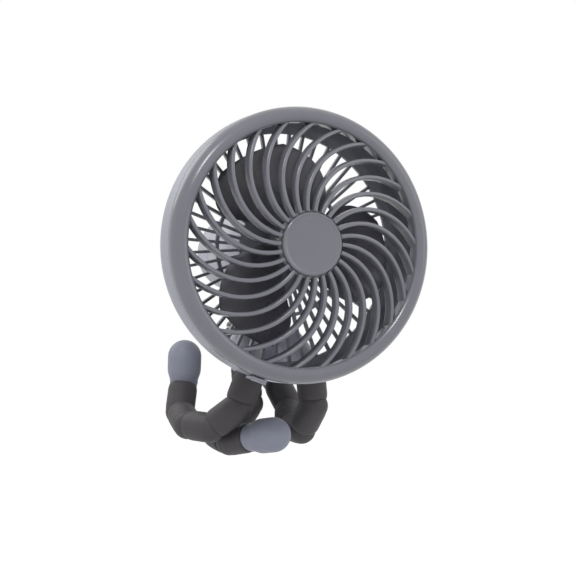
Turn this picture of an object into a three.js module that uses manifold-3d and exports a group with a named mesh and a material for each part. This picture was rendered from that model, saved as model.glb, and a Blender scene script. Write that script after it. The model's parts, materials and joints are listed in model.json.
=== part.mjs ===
// A round fan on three bendable legs that wrap round a bar.
//
// Millimetres, +Z up. The origin is the middle of the gripped bar, which runs along X.
// The fan faces -Y, and its own axis is parallel to Y.

import * as THREE from "three";
import { mergeVertices } from "three/addons/utils/BufferGeometryUtils.js";
import Module from "manifold-3d";

const wasm = await Module();
wasm.setup();

// ---- driving dimensions -------------------------------------------------------------

// gaps and fits
const touchGap = 0.3; // between pieces that touch
const screwFit = 0.35; // round a screw or bolt, on the radius
const cutLength = 40; // of a cutter that goes right through

// what the legs hold
const barRadius = 15;
const barToHubGap = 0.6;

// head: depths run backwards from the plane of the front opening
const headRadius = 75; // widest circle of the bezel
const bezelWidth = 9; // front face of the bezel, on the radius
const openingRadius = headRadius - bezelWidth;
const bezelDepth = 9; // front lip to the seam with the drum
const bezelWall = 1.9;
const drumDepth = 37; // front lip to the drum's back corner
const drumTaperStart = 22; // depth where the drum's wall starts to draw in
const drumTaper = 5; // how far it draws in by the back corner, on the radius
const drumBackRadius = headRadius - drumTaper;
const drumWall = 2;
const drumFlange = 4; // flat edge round the rear grille
const headHeight = 71; // fan axis above the bar's middle
const drumToLegsGap = 24; // drum's back corner to the bar's surface

const latchSize = [9, 9.5, 1.6];
const latchTurn = 19; // degrees from the bottom of the head

// front grille
const ribCount = 26;
const ribWidth = 2.8;
const ribDepth = 5; // at the middle
const ribDeepening = 3; // deeper by this much at the bezel
const ribSweep = 44; // degrees that a rib turns on its way out
const ribSweepPower = 1.52; // how late that turn comes
const domeRise = 8; // the grille's middle stands this far in front of the opening
const capRadius = 17;
const capHeight = 3;
const capRim = 0.6;
const capPegRadius = 4;

// rear grille
const rearRibCount = 48;
const rearRibWidth = 1.6;
const rearRibDepth = 3.2;
const rearRingRadius = 38;
const rearDome = 2.5; // the rear grille's middle stands this far behind its edge

// motor and blades
const motorRadius = 12;
const motorLength = 25;
const motorPlateRadius = 25;
const motorPlateThickness = 3;
const motorBoss = [4, 1.6]; // radius and height of the end cap's bearing boss
const gasketWall = 2.3;
const gasketLength = 7;
const shaftRadius = 1;
const bladeCount = 3;
const bladeToWall = 17; // blade tip to the drum's inner wall
const bladeTipRadius = headRadius - drumWall - bladeToWall;
const bladeThickness = 1.8;
const bladeHubRadius = 12;
const bladeHubDepth = 17;
const bladeMiddle = 20.5; // depth of the blades' middle behind the opening
const bladePitch = 25; // front-to-back rise over one blade, at its widest
const bladeRootPitch = 0.55; // share of that pitch at the hub
const bladeStart = 93; // degrees round the axis, where the first blade's middle leaves the hub
const bladeLean = 24; // degrees that its middle has turned by the tip
const bladeTipSpread = 38; // degrees over the blade at its tip
const bladeSpread = 88; // and where it is widest
const bladeWidest = 0.42; // share of the blade's length where that is
const bladeRounding = 2.5;

// pod behind the head
const podRadius = 22;
const podWall = 2;
const podSplit = 60; // length of the front shell
const podCapLength = 22;
const podEdge = 5; // rounding of the pod's back edge
const podLip = 1.4; // lip of the cap that goes into the shell
const podBossLength = 12;
const cellRadius = 9; // the battery cell lies across the pod
const cellEndRoom = 0.3; // beyond the touching gap, at each end
const tabSize = [0.4, 6, 5];
const cellGapBehindMotor = 7;
const boardEdgeGap = 3;
const boardToBack = 9; // board's front to the pod's back
const postInset = 2.5; // posts inside the board's edge
const postRadius = 1.8;
const lampRadius = 1.5;
const lampOffset = 11.5; // lamp above the button, socket below it
const boardThickness = 1.6;
const buttonRadius = 6.5;
const buttonTravel = 0.8;
const socketSize = [9, 3.4]; // charging socket, X by Z

// tilting neck
const pivotHeight = 41; // tilt axis above the bar's middle
const kneeRadius = 7;
const kneeWidth = 8;
const earThickness = 5;
const washerThickness = 0.7;
const tiltBoltRadius = 2.2;
const tiltBoltHead = 4.2;
const forkBaseRadius = 12;
const forkBaseHeight = 2.7;

// hub that carries the legs
const hubRadius = 18;
const hubHeight = 11;
const hubLidHeight = 3.5;
const rootCircle = 22.3; // legs' first pivots round the hub
const rootHeight = 17.2; // those pivots above the bar's middle
const rootDroop = 45; // degrees that the hub's balls point down

// ball-jointed legs
const legPitch = 20; // pivot to pivot
const legRadius = 8.6;
const waistRadius = 7.5; // where a link narrows to its joint
const ballRadius = 6.4;
const ballNeck = 3.4;
const cupGap = 0.7; // round the ball; the facets take up most of it
const cupWall = 1;
const collarGap = 0.7; // between a cup and the hollow that it turns in
const cupLip = 0.8; // the cup reaches this far behind the ball's middle
const tipRadius = 9.9;
const tipLength = 24.3; // last pivot to the end of the tip

// where the legs' pivots go: each lies one pitch along the way to its guide point, in the wrapped pose
const legGuides = {
  leg_a: [
    [-14.3, -28.2, 0.5], [-21.1, -26.2, -18.2], [-33.8, -16, -30], [-41.1, 2.6, -29.1],
    [-39.7, 21.4, -22.6], [-34.6, 29.3, -4.9], [-35.4, 24.5, 18.9],
  ],
  leg_b: [
    [22.7, -26.9, 1.7], [24.3, -27.6, -18.3], [22.6, -13.7, -32.6], [23, 6.3, -31.6],
    [29.2, 22.1, -20.9], [24.9, 33.8, -5.3], [22.1, 28.6, 18.2],
  ],
  leg_c: [
    [4.7, 31.9, 0.3], [7.5, 31.1, -19.5], [-5.1, 27, -34.4], [-19.6, 13.3, -35.9],
    [-18.7, -6.5, -38.3], [-10.9, -24.6, -35], [0.5, -45.8, -31.8],
  ],
};
const legRoots = { leg_a: 230, leg_b: 310, leg_c: 90 }; // degrees round the hub

// facets
const ringSides = 48;
const roundSides = 20;
const legSides = 10;

// ---- shared shapes ------------------------------------------------------------------

const degrees = Math.PI / 180;

// a closed geometry as a solid; one that is inside out is turned first
function solid(geometry) {
  const bare = geometry.clone();
  bare.deleteAttribute("normal");
  bare.deleteAttribute("uv");
  const merged = mergeVertices(bare, 1e-4);
  const triVerts = Uint32Array.from(merged.index.array);
  const vertProperties = Float32Array.from(merged.attributes.position.array);
  const flip = signedVolume(vertProperties, triVerts) < 0;
  for (let t = 0; flip && t < triVerts.length; t += 3) {
    [triVerts[t + 1], triVerts[t + 2]] = [triVerts[t + 2], triVerts[t + 1]];
  }
  return new wasm.Manifold(new wasm.Mesh({ numProp: 3, vertProperties, triVerts }));
}

function signedVolume(positions, triangles) {
  const corner = (index) => new THREE.Vector3().fromArray(positions, index * 3);
  let volume = 0;
  for (let t = 0; t < triangles.length; t += 3) {
    const [a, b, c] = [corner(triangles[t]), corner(triangles[t + 1]), corner(triangles[t + 2])];
    volume += a.dot(b.cross(c)) / 6;
  }
  return volume;
}

function geometryOf(manifold) {
  const mesh = manifold.getMesh();
  const geometry = new THREE.BufferGeometry();
  const positions = new Float32Array((mesh.vertProperties.length / mesh.numProp) * 3);
  for (let v = 0; v < positions.length / 3; v += 1) {
    for (let k = 0; k < 3; k += 1) {
      positions[v * 3 + k] = mesh.vertProperties[v * mesh.numProp + k];
    }
  }
  geometry.setAttribute("position", new THREE.BufferAttribute(positions, 3));
  geometry.setIndex(Array.from(mesh.triVerts));
  return geometry;
}

function joined(solids) {
  return solids.reduce((sum, next) => sum.add(next));
}

function cut(body, tools) {
  return tools.reduce((rest, tool) => rest.subtract(tool), body);
}

// a turned shape about Y from [radius, y] pairs, which may go either way round
function turned(pairs, sides = roundSides) {
  const profile = pairs.map(([r, y]) => new THREE.Vector2(r, y));
  if (THREE.ShapeUtils.area(profile) < 0) {
    profile.reverse();
  }
  return new THREE.LatheGeometry(profile, sides);
}

// a turned ring or tube: its pairs close on themselves
function turnedRing(pairs, sides = roundSides) {
  return turned([...pairs, pairs[0]], sides);
}

// a rod along Y from y0 to y1
function rod(radius, y0, y1, sides = roundSides) {
  return turned([[0, y0], [radius, y0], [radius, y1], [0, y1]], sides);
}

// a washer or tube along Y
function tubeY(inner, outer, y0, y1, sides = roundSides) {
  return turnedRing([[inner, y0], [outer, y0], [outer, y1], [inner, y1]], sides);
}

function box(x, y, z, cx = 0, cy = 0, cz = 0) {
  return new THREE.BoxGeometry(x, y, z).translate(cx, cy, cz);
}

// [radius, y] pairs round an arc whose centre is on the axis; angles from the +Y end
function arc(radius, centre, from, to, steps) {
  const pairs = [];
  for (let s = 0; s <= steps; s += 1) {
    const angle = (from + ((to - from) * s) / steps) * degrees;
    pairs.push([Math.max(radius * Math.sin(angle), 0), centre + radius * Math.cos(angle)]);
  }
  return pairs;
}

// a closed body through rings of points, each ring in the same order, with flat ends
function lofted(rings) {
  const count = rings[0].length;
  const positions = rings.flat().flatMap((point) => point.toArray());
  const index = [];
  for (let r = 0; r + 1 < rings.length; r += 1) {
    for (let k = 0; k < count; k += 1) {
      const [a, b] = [r * count + k, r * count + ((k + 1) % count)];
      index.push(a, b, b + count, a, b + count, a + count);
    }
  }
  const last = (rings.length - 1) * count;
  for (let k = 1; k + 1 < count; k += 1) {
    index.push(0, k + 1, k, last, last + k, last + k + 1);
  }
  const geometry = new THREE.BufferGeometry();
  geometry.setAttribute("position", new THREE.Float32BufferAttribute(positions, 3));
  geometry.setIndex(index);
  return geometry;
}

// a point on a circle about the fan axis
function polar(radius, angle, depth) {
  return new THREE.Vector3(radius * Math.cos(angle), depth, radius * Math.sin(angle));
}

function material(colour, roughness, metalness = 0) {
  return new THREE.MeshStandardMaterial({ color: colour, roughness, metalness });
}

const finishes = {
  frontPlastic: () => material(0x70717a, 0.38),
  drumPlastic: () => material(0x9698a0, 0.42),
  podPlastic: () => material(0xb4b7be, 0.45),
  darkPlastic: () => material(0x3d3c42, 0.4),
  legRubber: () => material(0x3c393c, 0.75),
  tipRubber: () => material(0x787b87, 0.7),
  steel: () => material(0xb8b8bc, 0.3, 1),
  darkSteel: () => material(0x6c6c70, 0.4, 1),
  board: () => material(0x24523a, 0.6),
  copper: () => material(0xb87b4c, 0.35, 1),
  foil: () => material(0xc4c6ca, 0.35, 0.6),
  rubber: () => material(0x26262a, 0.85),
  lens: () => material(0xe8eef2, 0.2),
};

function part(name, shape, finish) {
  const geometry = shape.isBufferGeometry ? shape : geometryOf(shape);
  const mesh = new THREE.Mesh(geometry, finish());
  mesh.name = name;
  return mesh;
}

// the same kind of piece several times over: name_1, name_2 and so on
function parts(name, shapes, finish) {
  return shapes.map((shape, order) => part(`${name}_${order + 1}`, shape, finish));
}

// ---- front of the head --------------------------------------------------------------

// depth of the grille's front surface at a radius: a low dome that meets the lip
function domeFront(radius) {
  const share = Math.min(radius / openingRadius, 1);
  return -domeRise + (domeRise + bezelWall) * share ** 2.4;
}

function bezelRing() {
  const outer = headRadius;
  const inner = openingRadius;
  const back = bezelDepth;
  const wall = bezelWall;
  return turnedRing([
    [inner, back],
    [inner, 1.4],
    [inner + 1.6, 0],
    [inner + 4, -0.3],
    [outer - 1.6, 1.9],
    [outer, 6],
    [outer, back],
    [outer - wall, back],
    [outer - wall - 0.4, 5],
    [inner + wall, 2.6],
    [inner + wall, back],
  ], ringSides);
}

// one swept rib: a section that narrows towards the front, carried along a spiral
function spiralRib(start) {
  const inner = capRadius + 2 * touchGap;
  const outer = openingRadius + bezelWall / 2;
  const stations = 6;
  const rings = [];
  const at = (share) => {
    const radius = inner + (outer - inner) * share;
    const angle = start - ribSweep * degrees * share ** ribSweepPower;
    return polar(radius, angle, domeFront(radius) + 0.4);
  };
  for (let s = 0; s < stations; s += 1) {
    const share = s / (stations - 1);
    const point = at(share);
    const along = at(share + 0.01).sub(at(Math.max(share - 0.01, 0))).setY(0).normalize();
    const side = new THREE.Vector3(along.z, 0, -along.x);
    const offset = (across, back) => point.clone().addScaledVector(side, across).setY(point.y + back);
    const half = ribWidth / 2;
    const deep = ribDepth + ribDeepening * share ** 2;
    rings.push([
      offset(-half * 0.6, 0),
      offset(half * 0.6, 0),
      offset(half, deep),
      offset(-half, deep),
    ]);
  }
  return lofted(rings);
}

function frontGrille() {
  const plateFront = -domeRise + capHeight;
  const plate = tubeY(capPegRadius + touchGap, capRadius + 1.4, plateFront, plateFront + 3.4, ribCount);
  const ribs = [];
  for (let k = 0; k < ribCount; k += 1) {
    ribs.push(solid(spiralRib((k / ribCount) * 2 * Math.PI)));
  }
  return joined([solid(bezelRing()), solid(plate), ...ribs]);
}

function hubCap() {
  const back = -domeRise + capHeight - touchGap;
  const front = -domeRise;
  return turned([
    [0, back + capHeight],
    [capPegRadius, back + capHeight],
    [capPegRadius, back],
    [capRadius - 0.3, back],
    [capRadius, back - 0.6],
    [capRadius, front + 0.5],
    [capRadius - 0.5, front - capRim * 0.7],
    [capRadius - 1.2, front - capRim],
    [capRadius - 2, front],
    [0, front],
  ], 26);
}

// ---- back of the head ---------------------------------------------------------------

// depth of the rear grille's front surface at a radius
function rearFront(radius) {
  const share = (drumBackRadius - radius) / (drumBackRadius - motorPlateRadius);
  return drumDepth - rearRibDepth + rearDome * Math.min(share, 1);
}

function drumWallRing() {
  const front = bezelDepth + touchGap;
  const back = drumDepth;
  const outer = headRadius;
  const corner = 2.4; // rounding of the back corner
  return turnedRing([
    [outer - drumWall, front],
    [outer, front],
    [outer, drumTaperStart],
    [outer - drumTaper * 0.4, (drumTaperStart + back) / 2],
    [drumBackRadius, back - corner],
    [drumBackRadius - corner, back],
    [drumBackRadius - corner - drumFlange, back],
    [drumBackRadius - corner - drumFlange, back - rearRibDepth],
    [drumBackRadius - drumWall, back - rearRibDepth - 1],
    [outer - drumWall - drumTaper * 0.3, (drumTaperStart + back) / 2 - 1],
    [outer - drumWall, drumTaperStart - 1],
  ], ringSides);
}

function rearRib(angle) {
  const ring = (radius) => {
    const half = rearRibWidth / 2;
    const corners = [[-half, 0], [half, 0], [half, rearRibDepth], [-half, rearRibDepth]];
    return corners.map(([across, back]) => {
      const point = polar(radius, angle, rearFront(radius) + back);
      return point.add(new THREE.Vector3(-Math.sin(angle), 0, Math.cos(angle)).multiplyScalar(across));
    });
  };
  return lofted([ring(motorPlateRadius - 1.5), ring(drumBackRadius - drumFlange)]);
}

const plateFrontDepth = rearFront(motorPlateRadius) + rearRibDepth - motorPlateThickness;
const plateBackDepth = plateFrontDepth + motorPlateThickness;
const motorScrewCircle = 8;
const podScrewCircle = podRadius - podWall - 2.2;

function screwHoles(circle, angles, radius, y0, y1) {
  return angles.map((angle) => {
    const place = polar(circle, angle * degrees, 0);
    return solid(rod(radius, y0, y1, 12).translate(place.x, 0, place.z));
  });
}

const motorScrewAngles = [0, 180];
const podScrewAngles = [90, 210, 330];

function rearHousing() {
  const plate = tubeY(shaftRadius + 3, motorPlateRadius, plateFrontDepth, plateBackDepth, 24);
  const ringFront = rearFront(rearRingRadius);
  const [ringInner, ringOuter] = [rearRingRadius - 1, rearRingRadius + 1];
  const ring = tubeY(ringInner, ringOuter, ringFront + 0.5, ringFront + rearRibDepth - 0.5, 24);
  const ribs = [];
  for (let k = 0; k < rearRibCount; k += 1) {
    ribs.push(solid(rearRib(((k + 0.5) / rearRibCount) * 2 * Math.PI)));
  }
  const whole = joined([solid(drumWallRing()), ...ribs, solid(ring), solid(plate)]);
  return cut(whole, [
    ...screwHoles(motorScrewCircle, motorScrewAngles, 1 + screwFit, plateFrontDepth - 4, plateBackDepth + 4),
    ...screwHoles(podScrewCircle, podScrewAngles, 1.2 + screwFit, plateFrontDepth - 4, plateBackDepth + 4),
  ]);
}

// small clip that locks the bezel to the drum, low on the rim
function grilleLatch() {
  const [wide, long, thick] = latchSize;
  const front = bezelDepth - 2.5;
  const under = -headRadius - touchGap;
  const tab = box(wide, long, thick, 0, front + long / 2, under - thick / 2);
  const lip = box(wide, thick, 1, 0, front + thick / 2, under - thick - 0.4);
  return geometryOf(solid(tab).add(solid(lip))).rotateY(latchTurn * degrees);
}

// ---- motor and impeller -------------------------------------------------------------

const motorFront = plateBackDepth + touchGap;
const motorBack = motorFront + motorLength;

function motorCan() {
  const bossFront = plateFrontDepth - 0.5;
  const can = turned([
    [0, motorFront + 4],
    [shaftRadius + 1.5, motorFront + 4],
    [shaftRadius + 1.5, bossFront],
    [shaftRadius + 2.6, bossFront],
    [shaftRadius + 2.6, motorFront],
    [motorRadius - 0.8, motorFront],
    [motorRadius, motorFront + 0.8],
    [motorRadius, motorBack - 3],
    [0, motorBack - 3],
  ]);
  const holeRadius = 0.9 + screwFit;
  const holes = screwHoles(motorScrewCircle, motorScrewAngles, holeRadius, motorFront - 1, motorFront + 3.4);
  return cut(solid(can), holes);
}

function motorEndCap() {
  const [bossRadius, bossHeight] = motorBoss;
  return turned([
    [0, motorBack - 3 + touchGap],
    [motorRadius - 0.4, motorBack - 3 + touchGap],
    [motorRadius - 0.4, motorBack - 0.6],
    [motorRadius - 1.2, motorBack],
    [bossRadius, motorBack],
    [bossRadius, motorBack + bossHeight],
    [0, motorBack + bossHeight],
  ]);
}

function motorTerminals() {
  const z = 7;
  const y = motorBack + 2 + touchGap;
  return [-5, 5].map((x) => box(2.2, 4, 0.6, x, y, z));
}

function motorGasket() {
  const inner = motorRadius + touchGap;
  return tubeY(inner, inner + gasketWall, motorFront, motorFront + gasketLength);
}

function motorScrews() {
  return motorScrewAngles.map((angle) => {
    const place = polar(motorScrewCircle, angle * degrees, 0);
    const head = plateFrontDepth - touchGap;
    return turned([
      [0, head - 1.4],
      [1.9, head - 1.4],
      [1.9, head],
      [0.9, head],
      [0.9, motorFront + 3],
      [0, motorFront + 3],
    ], 12).translate(place.x, 0, place.z);
  });
}

function motorShaft() {
  return rod(shaftRadius, bladeMiddle - bladeHubDepth / 2 + 3.2, motorFront + 3.6, 16);
}

function impellerHub() {
  const front = bladeMiddle - bladeHubDepth / 2;
  const back = front + bladeHubDepth;
  const shell = 1.8;
  const bore = shaftRadius + 0.05 + touchGap;
  return turned([
    [0, front],
    [bladeHubRadius - 4, front + 0.4],
    [bladeHubRadius - 1, front + 2],
    [bladeHubRadius, front + 4.5],
    [bladeHubRadius, back],
    [bladeHubRadius - shell, back],
    [bladeHubRadius - shell, front + 5],
    [bladeHubRadius - 4, front + shell + 1],
    [3.4, front + shell + 0.6],
    [3.4, back - 2],
    [bore, back - 2],
    [bore, front + 2.8],
    [0, front + 2.8],
  ]);
}

// one broad petal: a round-tipped leaf cut from a screw surface, thinner towards its rim
function petal(turn) {
  const stations = 9;
  const chordSteps = 4;
  const root = bladeHubRadius - 1.5;
  const rings = [];
  for (let s = 0; s < stations; s += 1) {
    const share = s / (stations - 1);
    const radius = root + (bladeTipRadius - root) * share;
    const narrowing = Math.abs((share - bladeWidest) / (1 - bladeWidest)) ** bladeRounding;
    const spread = bladeSpread + (bladeTipSpread - bladeSpread) * narrowing;
    const lean = bladeLean * Math.sin((Math.PI / 2) * share);
    const pitch = bladePitch * Math.min(bladeRootPitch + share, 1);
    const near = [];
    const far = [];
    for (let c = 0; c <= chordSteps; c += 1) {
      const across = c / chordSteps - 0.5;
      const offset = lean - bladeLean + spread * across;
      const angle = (bladeStart + bladeLean + offset + turn) * degrees;
      const crown = 1.6 * (1 - 4 * across * across);
      const depth = bladeMiddle + pitch * (offset / bladeSpread) - crown;
      const half = (bladeThickness / 2) * (1 - 0.3 * share);
      near.push(polar(radius, angle, depth - half));
      far.unshift(polar(radius, angle, depth + half));
    }
    rings.push([...near, ...far]);
  }
  return lofted(rings);
}

function impeller() {
  const blades = [];
  for (let k = 0; k < bladeCount; k += 1) {
    blades.push(solid(petal((k * 360) / bladeCount)));
  }
  const middle = solid(rod(bladeHubRadius - 1, bladeMiddle - cutLength / 2, bladeMiddle + cutLength / 2));
  const outside = blades.map((blade) => blade.subtract(middle));
  return joined([solid(impellerHub()), ...outside]);
}

// ---- pod ----------------------------------------------------------------------------

const podFront = plateBackDepth + touchGap;
const podSeam = podFront + podSplit;
const podBack = podSeam + touchGap + podCapLength;
const pivotDepth = drumDepth + drumToLegsGap + barRadius; // tilt axis behind the opening
const pivotDrop = headHeight - pivotHeight; // tilt axis below the fan axis
const cellDepth = motorBack + cellGapBehindMotor + cellRadius;
const boardFront = podBack - boardToBack;
const boardBack = boardFront + boardThickness;
const boardRadius = podRadius - podWall - boardEdgeGap;
const postCircle = boardRadius - postInset;
const cellEnd = Math.sqrt((podRadius - podWall - touchGap - podLip) ** 2 - cellRadius ** 2);
const cellLength = 2 * (cellEnd - touchGap - cellEndRoom);
const postAngles = [35, 215];

function podShell() {
  const tube = tubeY(podRadius - podWall, podRadius, podFront, podSeam, 28);
  const bosses = podScrewAngles.map((angle) => {
    const place = polar(podScrewCircle, angle * degrees, 0);
    return solid(rod(3, podFront, podFront + podBossLength, 10).translate(place.x, 0, place.z));
  });
  const knee = new THREE.CylinderGeometry(kneeRadius, kneeRadius, kneeWidth, 24)
    .rotateZ(Math.PI / 2)
    .translate(0, pivotDepth, -pivotDrop);
  const web = box(kneeWidth, 2 * kneeRadius, pivotDrop - podRadius + 1.5, 0, pivotDepth, 0)
    .translate(0, 0, -(pivotDrop + podRadius - 1.5) / 2);
  const eye = new THREE.CylinderGeometry(tiltBoltRadius + screwFit, tiltBoltRadius + screwFit, cutLength, 18)
    .rotateZ(Math.PI / 2)
    .translate(0, pivotDepth, -pivotDrop);
  const cradle = [-1, 1].map((side) => {
    const height = podRadius - podWall - cellRadius;
    return solid(box(2, 8, height, side * 9, cellDepth - 3, -cellRadius - touchGap - height / 2));
  });
  const outside = joined([solid(tube), ...bosses, ...cradle, solid(web), solid(knee)]);
  const seat = motorRadius + gasketWall + 2 * touchGap;
  const inside = solid(rod(seat, podFront - 1, podFront + podBossLength + 1));
  const pilots = screwHoles(podScrewCircle, podScrewAngles, 1.2 + screwFit, podFront - 1, podFront + 8);
  return cut(outside, [inside, solid(eye), ...pilots]);
}

function podCap() {
  const front = podSeam + touchGap;
  const outer = podRadius;
  const inner = outer - podWall;
  const lip = inner - touchGap;
  const cup = turnedRing([
    [lip - podLip, front - 4],
    [lip, front - 4],
    [lip, front],
    [outer, front],
    [outer, podBack - podEdge],
    [outer - 1.4, podBack - 1.6],
    [outer - podEdge, podBack],
    [2, podBack],
    [2, podBack - podWall],
    [outer - podEdge, podBack - podWall],
    [inner - 0.6, podBack - podEdge],
    [lip - podLip, front + 1],
  ], 28);
  const posts = postAngles.map((angle) => {
    const place = polar(postCircle, angle * degrees, 0);
    const shape = rod(postRadius, boardBack + touchGap, podBack - podWall / 2, 12);
    return solid(shape.translate(place.x, 0, place.z));
  });
  const pilots = screwHoles(postCircle, postAngles, 0.7 + screwFit, boardBack - 1, boardBack + 3.5);
  const buttonHole = solid(rod(buttonRadius + touchGap + 0.1, podBack - 6, podBack + 4, 24));
  const lampBore = rod(lampRadius + touchGap, podBack - 6, podBack + 4, 12);
  const lampHole = solid(lampBore.translate(0, 0, lampOffset));
  const [socketWide, socketHigh] = socketSize;
  const socketHole = box(socketWide + 0.8, 8, socketHigh + 0.8, 0, podBack, -lampOffset);
  return cut(joined([solid(cup), ...posts]), [buttonHole, lampHole, solid(socketHole), ...pilots]);
}

function podScrews() {
  const head = plateFrontDepth - touchGap;
  return podScrewAngles.map((angle) => {
    const place = polar(podScrewCircle, angle * degrees, 0);
    return turned([
      [0, head - 1.6],
      [2.3, head - 1.6],
      [2.3, head],
      [1.2, head],
      [1.2, podFront + 7],
      [0, podFront + 7],
    ], 12).translate(place.x, 0, place.z);
  });
}

function batteryCell() {
  const half = cellLength / 2;
  return turned([
    [0, -half],
    [cellRadius - 0.8, -half],
    [cellRadius, -half + 0.8],
    [cellRadius, half - 1.6],
    [cellRadius - 0.8, half - 0.8],
    [3, half - 0.8],
    [3, half],
    [0, half],
  ]).rotateZ(-Math.PI / 2).translate(0, cellDepth, 0);
}

function cellTabs() {
  const [thick, wide, high] = tabSize;
  const x = cellLength / 2 + touchGap + thick / 2;
  return [-x, x].map((place) => box(thick, wide, high, place, cellDepth, 0));
}

function circuitBoard() {
  const disc = solid(rod(boardRadius, boardFront, boardBack, 28));
  const holes = screwHoles(postCircle, postAngles, 0.7 + screwFit, boardFront - 1, boardBack + 1);
  return cut(disc, holes);
}

function boardScrews() {
  const head = boardFront - touchGap;
  return postAngles.map((angle) => {
    const place = polar(postCircle, angle * degrees, 0);
    return turned([
      [0, head - 1],
      [1.5, head - 1],
      [1.5, head],
      [0.7, head],
      [0.7, boardBack + 3],
      [0, boardBack + 3],
    ], 10).translate(place.x, 0, place.z);
  });
}

const switchTop = boardBack + touchGap + 2.2;

function boardSwitch() {
  const base = box(6, 1.6, 6, 0, boardBack + touchGap + 0.8, 0);
  return solid(base).add(solid(rod(1.6, boardBack + touchGap + 1, switchTop, 16)));
}

function powerButton() {
  const skirt = podBack - podWall - buttonTravel - touchGap;
  return turned([
    [0, switchTop + buttonTravel + 0.15],
    [1.5, switchTop + buttonTravel + 0.15],
    [1.5, skirt - 0.6],
    [buttonRadius + 1.2, skirt - 0.6],
    [buttonRadius + 1.2, skirt + buttonTravel],
    [buttonRadius, skirt + buttonTravel],
    [buttonRadius, podBack + 0.9],
    [buttonRadius - 0.6, podBack + 1.4],
    [0, podBack + 1.2],
  ], 18);
}

function lampLens() {
  return turned([
    [0, boardBack + touchGap],
    [lampRadius, boardBack + touchGap],
    [lampRadius, podBack],
    [lampRadius * 0.6, podBack + 0.4],
    [0, podBack + 0.5],
  ], 12).translate(0, 0, lampOffset);
}

function chargingSocket() {
  const [wide, high] = socketSize;
  const front = boardBack + touchGap;
  const back = podBack - touchGap;
  const middle = (front + back) / 2;
  const shell = solid(box(wide, back - front, high, 0, middle, -lampOffset));
  const hollow = solid(box(wide - 0.8, back - front, high - 0.8, 0, middle + 1.2, -lampOffset));
  const tongue = solid(box(wide - 2.6, back - front - 1.2, 0.8, 0, middle - 0.6, -lampOffset));
  return shell.subtract(hollow).add(tongue);
}

// ---- neck ---------------------------------------------------------------------------

const earInner = kneeWidth / 2 + washerThickness + 2 * touchGap;
const earOuter = earInner + earThickness;
const hubBottom = barRadius + barToHubGap;
const hubTop = hubBottom + hubHeight;
const lidBottom = hubTop + touchGap;
const lidTop = lidBottom + hubLidHeight;
const forkBottom = lidTop + touchGap;

function rodX(radius, x0, x1, sides = roundSides) {
  return rod(radius, x0, x1, sides).rotateZ(-Math.PI / 2);
}

function neckFork() {
  const base = solid(rod(forkBaseRadius, 0, forkBaseHeight).rotateX(Math.PI / 2).translate(0, 0, forkBottom));
  const ears = [-1, 1].map((side) => {
    const [x0, x1] = side < 0 ? [-earOuter, -earInner] : [earInner, earOuter];
    const disc = solid(rodX(kneeRadius, x0, x1, 24).translate(0, 0, pivotHeight));
    const height = pivotHeight - forkBottom - 1;
    const leg = box(earThickness, 2 * kneeRadius, height, (x0 + x1) / 2, 0, forkBottom + 1 + height / 2);
    return disc.add(solid(leg));
  });
  const eyeRod = rodX(tiltBoltRadius + screwFit, -cutLength / 2, cutLength / 2, 16);
  const eye = solid(eyeRod.translate(0, 0, pivotHeight));
  const holes = forkScrewPlaces.map(([x, y]) => {
    return uprightRod(1.1 + screwFit, forkBottom - 1, forkBottom + 8, x, y);
  });
  return cut(joined([base, ...ears]), [eye, ...holes]);
}

const forkScrewPlaces = [[0, -9], [0, 9]];

function uprightRod(radius, z0, z1, x, y, sides = 12) {
  return solid(rod(radius, z0, z1, sides).rotateX(Math.PI / 2).translate(x, y, 0));
}

function forkScrews() {
  const head = forkBottom + forkBaseHeight + touchGap;
  return forkScrewPlaces.map(([x, y]) => turned([
    [0, hubTop - 5],
    [1.1, hubTop - 5],
    [1.1, head],
    [2.2, head],
    [2.2, head + 1.3],
    [0, head + 1.3],
  ], 12).rotateX(Math.PI / 2).translate(x, y, 0));
}

function tiltWashers() {
  const x = kneeWidth / 2 + touchGap;
  const washer = (start) => tubeY(tiltBoltRadius + screwFit, 6, start, start + washerThickness, 20);
  return [-x - washerThickness, x].map((start) => washer(start)
    .rotateZ(-Math.PI / 2)
    .translate(0, 0, pivotHeight));
}

function tiltBolt() {
  const seat = earOuter + touchGap;
  return turned([
    [0, -seat - 0.5],
    [tiltBoltRadius, -seat - 0.5],
    [tiltBoltRadius, seat],
    [tiltBoltHead, seat],
    [tiltBoltHead, seat + 1.6],
    [tiltBoltHead - 1, seat + 2.4],
    [0, seat + 2.4],
  ], 20).rotateZ(-Math.PI / 2).translate(0, 0, pivotHeight);
}

function tiltNut() {
  const seat = -earOuter - touchGap - 0.5 - touchGap;
  return turned([
    [0, seat - 3],
    [tiltBoltHead - 1, seat - 3],
    [tiltBoltHead, seat - 2.2],
    [tiltBoltHead, seat],
    [0, seat],
  ], 6).rotateZ(-Math.PI / 2).translate(0, 0, pivotHeight);
}

// ---- legs ---------------------------------------------------------------------------

const cupInner = ballRadius + cupGap;
const cupOuter = cupInner + cupWall;
const collarRadius = cupOuter + collarGap;

// where each pivot is and which way each link points, walking from guide to guide
function legPath(name) {
  const turn = legRoots[name] * degrees;
  const root = new THREE.Vector3(rootCircle * Math.cos(turn), rootCircle * Math.sin(turn), rootHeight);
  const droop = rootDroop * degrees;
  const rootWay = new THREE.Vector3(
    Math.cos(turn) * Math.cos(droop),
    Math.sin(turn) * Math.cos(droop),
    -Math.sin(droop),
  );
  const links = [];
  let pivot = root;
  let before = rootWay;
  for (const guide of legGuides[name]) {
    const way = new THREE.Vector3(...guide).sub(pivot).normalize();
    const hinge = before.clone().cross(way).normalize();
    links.push({ pivot, way, hinge, bend: before.angleTo(way) / degrees });
    pivot = pivot.clone().addScaledVector(way, legPitch);
    before = way;
  }
  return { root, rootWay, links };
}

const legNames = Object.keys(legGuides);
const legPaths = Object.fromEntries(legNames.map((name) => [name, legPath(name)]));

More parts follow.
